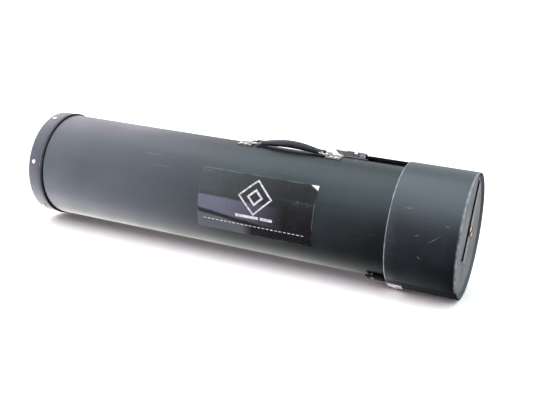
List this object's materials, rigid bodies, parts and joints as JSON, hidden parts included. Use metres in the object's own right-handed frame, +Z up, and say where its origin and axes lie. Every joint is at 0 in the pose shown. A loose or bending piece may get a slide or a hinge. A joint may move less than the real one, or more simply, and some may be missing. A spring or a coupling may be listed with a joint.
{
  "type": "cylindrical carrying case",
  "caption": "Rigid cylindrical carrying tube with a telescoping lid, end strap, cam buckle and lift-up handle for long rolled or folded items.",
  "frame": {"origin": "on the floor under the middle of the case: the centre of the overall box, at its bottom", "axes": "+X along the tube from the base to the lid, +Z up through the handle, -Y towards the side with the label"},
  "size_m": [0.85, 0.2216, 0.2276],
  "materials": {
    "fibre": "satin vulcanised fibre, dark blue-grey",
    "disc": "matte grey fibre board",
    "rubber": "matte black",
    "foam": "closed-cell foam",
    "nickel": "worn nickel plate",
    "brass": "worn plated brass",
    "webbing": "woven webbing",
    "buckle": "grey plated steel",
    "grip": "smooth dark leather",
    "film": "glossy film"
  },
  "bodies": {
    "tube": {"anchor_rivet_1": "nickel", "anchor_rivet_2": "nickel", "anchor_strap": "webbing", "base_cup": "fibre", "base_edge_bead": "rubber", "base_pad": "foam", "base_rivet_1": "nickel", "base_rivet_2": "nickel", "base_rivet_3": "nickel", "base_rivet_4": "nickel", "base_rivet_5": "nickel", "base_rivet_6": "nickel", "buckle_base": "buckle", "buckle_frame": "buckle", "buckle_pin": "nickel", "buckle_rivet_1": "nickel", "buckle_rivet_2": "nickel", "buckle_rivet_3": "nickel", "buckle_rivet_4": "nickel", "handle_backing_left": "buckle", "handle_backing_right": "buckle", "handle_bracket_left": "nickel", "handle_bracket_right": "nickel", "handle_rivet_left_1": "nickel", "handle_rivet_left_2": "nickel", "handle_rivet_left_3": "nickel", "handle_rivet_left_4": "nickel", "handle_rivet_right_1": "nickel", "handle_rivet_right_2": "nickel", "handle_rivet_right_3": "nickel", "handle_rivet_right_4": "nickel", "label_film": "film", "tube_shell": "fibre"},
    "lid": {"guard_rivet_1": "nickel", "guard_rivet_2": "nickel", "lid_edge_guard": "nickel", "lid_end_disc": "disc", "lid_pad": "foam", "lid_skirt": "fibre", "lid_strap": "webbing", "strap_rivet": "nickel", "strap_rosette": "brass"},
    "lever": {"buckle_lever": "buckle"},
    "grip": {"grip_cover": "grip", "grip_ferrule_left": "grip", "grip_ferrule_right": "grip"},
    "ring_left": {"handle_ring_left": "nickel"},
    "ring_right": {"handle_ring_right": "nickel"}
  },
  "joints": [
    {"name": "lid_slide", "type": "slide", "parent": "tube", "child": "lid", "axis": [1, 0, 0], "range_m": [0, 0.26]},
    {"name": "buckle_lever_hinge", "type": "hinge", "parent": "tube", "child": "lever", "pos_m": [0.195, 0.04985, 0.2086], "axis": [0, 0.891, -0.454], "range_deg": [0, 75]},
    {"name": "handle_lift", "type": "slide", "parent": "tube", "child": "grip", "axis": [0, 0, 1], "range_m": [0, 0.01125]},
    {"name": "ring_left_hinge", "type": "hinge", "parent": "tube", "child": "ring_left", "pos_m": [0.008, 0, 0.21436], "axis": [0, -1, 0], "range_deg": [0, 40]},
    {"name": "ring_right_hinge", "type": "hinge", "parent": "tube", "child": "ring_right", "pos_m": [0.159, 0, 0.21436], "axis": [0, 1, 0], "range_deg": [0, 40]}
  ],
  "couplings": [
    {"joint": "ring_left_hinge", "follows": "handle_lift", "rad_per_m": 62.056},
    {"joint": "ring_right_hinge", "follows": "handle_lift", "rad_per_m": 62.056}
  ]
}
